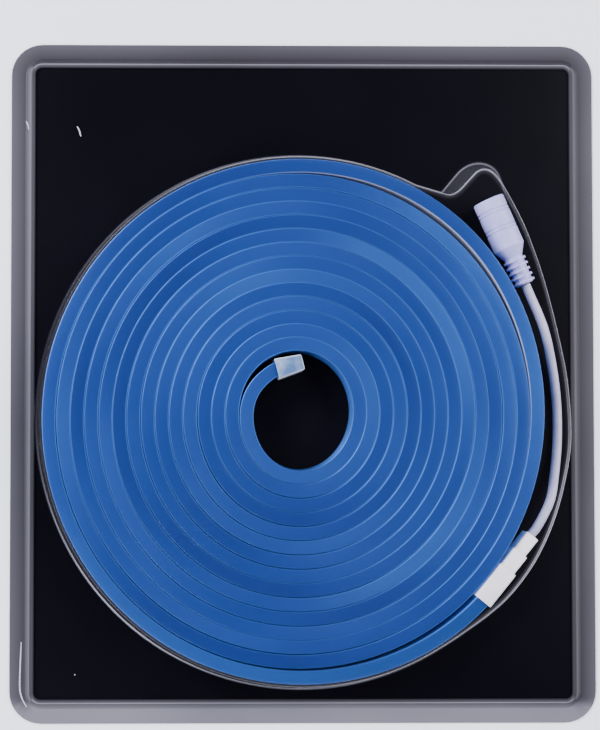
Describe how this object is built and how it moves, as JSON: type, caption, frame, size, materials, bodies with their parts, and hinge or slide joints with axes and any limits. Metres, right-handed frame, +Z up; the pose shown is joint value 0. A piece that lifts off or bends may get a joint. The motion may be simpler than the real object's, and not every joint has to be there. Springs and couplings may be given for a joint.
{
  "type": "led strip light",
  "caption": "Silicone LED strip light wound in a flat coil, with end cap, wired fitting, short lead and round power socket, under a clear blister on a black board.",
  "frame": {"origin": "middle of the pack's flange, at its underside, as the pack lies on its back", "axes": "+Z up out of the board towards the strip's light-emitting face, +Y along the pack's length towards its plain end, +X towards the side with the lead and socket"},
  "size_m": [0.2142, 0.249, 0.0164],
  "materials": {
    "blue_silicone": "satin translucent silicone",
    "clear_cap": "clear silicone",
    "white_fitting": "moulded, satin",
    "white_lead": "extruded, satin",
    "white_socket": "moulded, satin",
    "contact_metal": "plated",
    "black_board": "printed black, semi-gloss",
    "clear_film": "clear thermoformed film"
  },
  "bodies": {
    "root": {"neon_strip": "blue_silicone", "end_cap": "clear_cap", "wire_end_cap": "white_fitting", "lead": "white_lead", "socket_body": "white_socket", "socket_contact": "contact_metal", "centre_pin": "contact_metal", "backing_board": "black_board", "clear_blister": "clear_film"}
  },
  "joints": []
}
